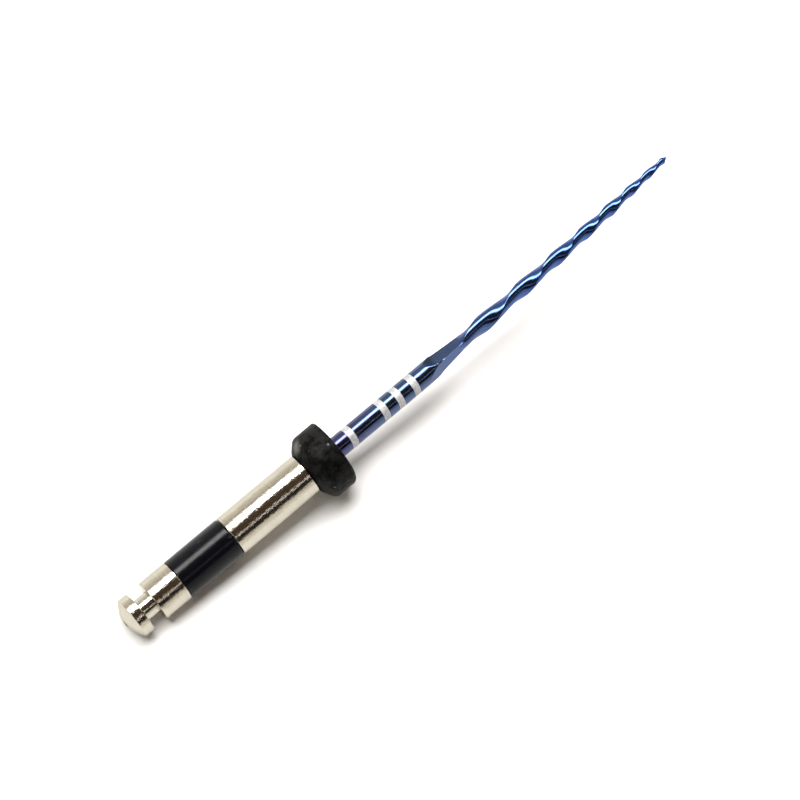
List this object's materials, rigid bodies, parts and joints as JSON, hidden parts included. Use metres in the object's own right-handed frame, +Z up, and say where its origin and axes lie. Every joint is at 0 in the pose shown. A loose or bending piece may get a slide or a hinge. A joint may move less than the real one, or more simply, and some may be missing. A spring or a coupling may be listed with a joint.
{
  "type": "endodontic file",
  "caption": "Latch-type engine endodontic file: turned shank with colour ring, left-hand two-edged tapered blade with depth bands, and a sliding silicone stop.",
  "frame": {"origin": "on the surface that the file lies on, under the middle of its box", "axes": "+X from the latch end to the tip, seen from above; +Z up; the file's own axis rises 4.36 degrees towards the tip, because it lies on the edges of its stop and of the lip behind its colour ring"},
  "size_m": [0.037, 0.0038, 0.0039],
  "materials": {
    "nickel": "nickel-plated turned brass, softly bright with a fine orange-peel ripple",
    "ring_plastic": "moulded black plastic, satin gloss",
    "blued_niti": "ground nickel-titanium, heat-blued, with bare silver laser bands on the plain shaft",
    "stop_silicone": "matte black silicone rubber with a little dust"
  },
  "bodies": {
    "instrument": {"latch_shank": "nickel", "color_ring": "ring_plastic", "file_blade": "blued_niti"},
    "stop": {"silicone_stop": "stop_silicone"}
  },
  "joints": [
    {"name": "stop_slide", "type": "slide", "parent": "instrument", "child": "stop", "axis": [0.9971, 0, 0.0761], "range_m": [0, 0.0059]}
  ]
}
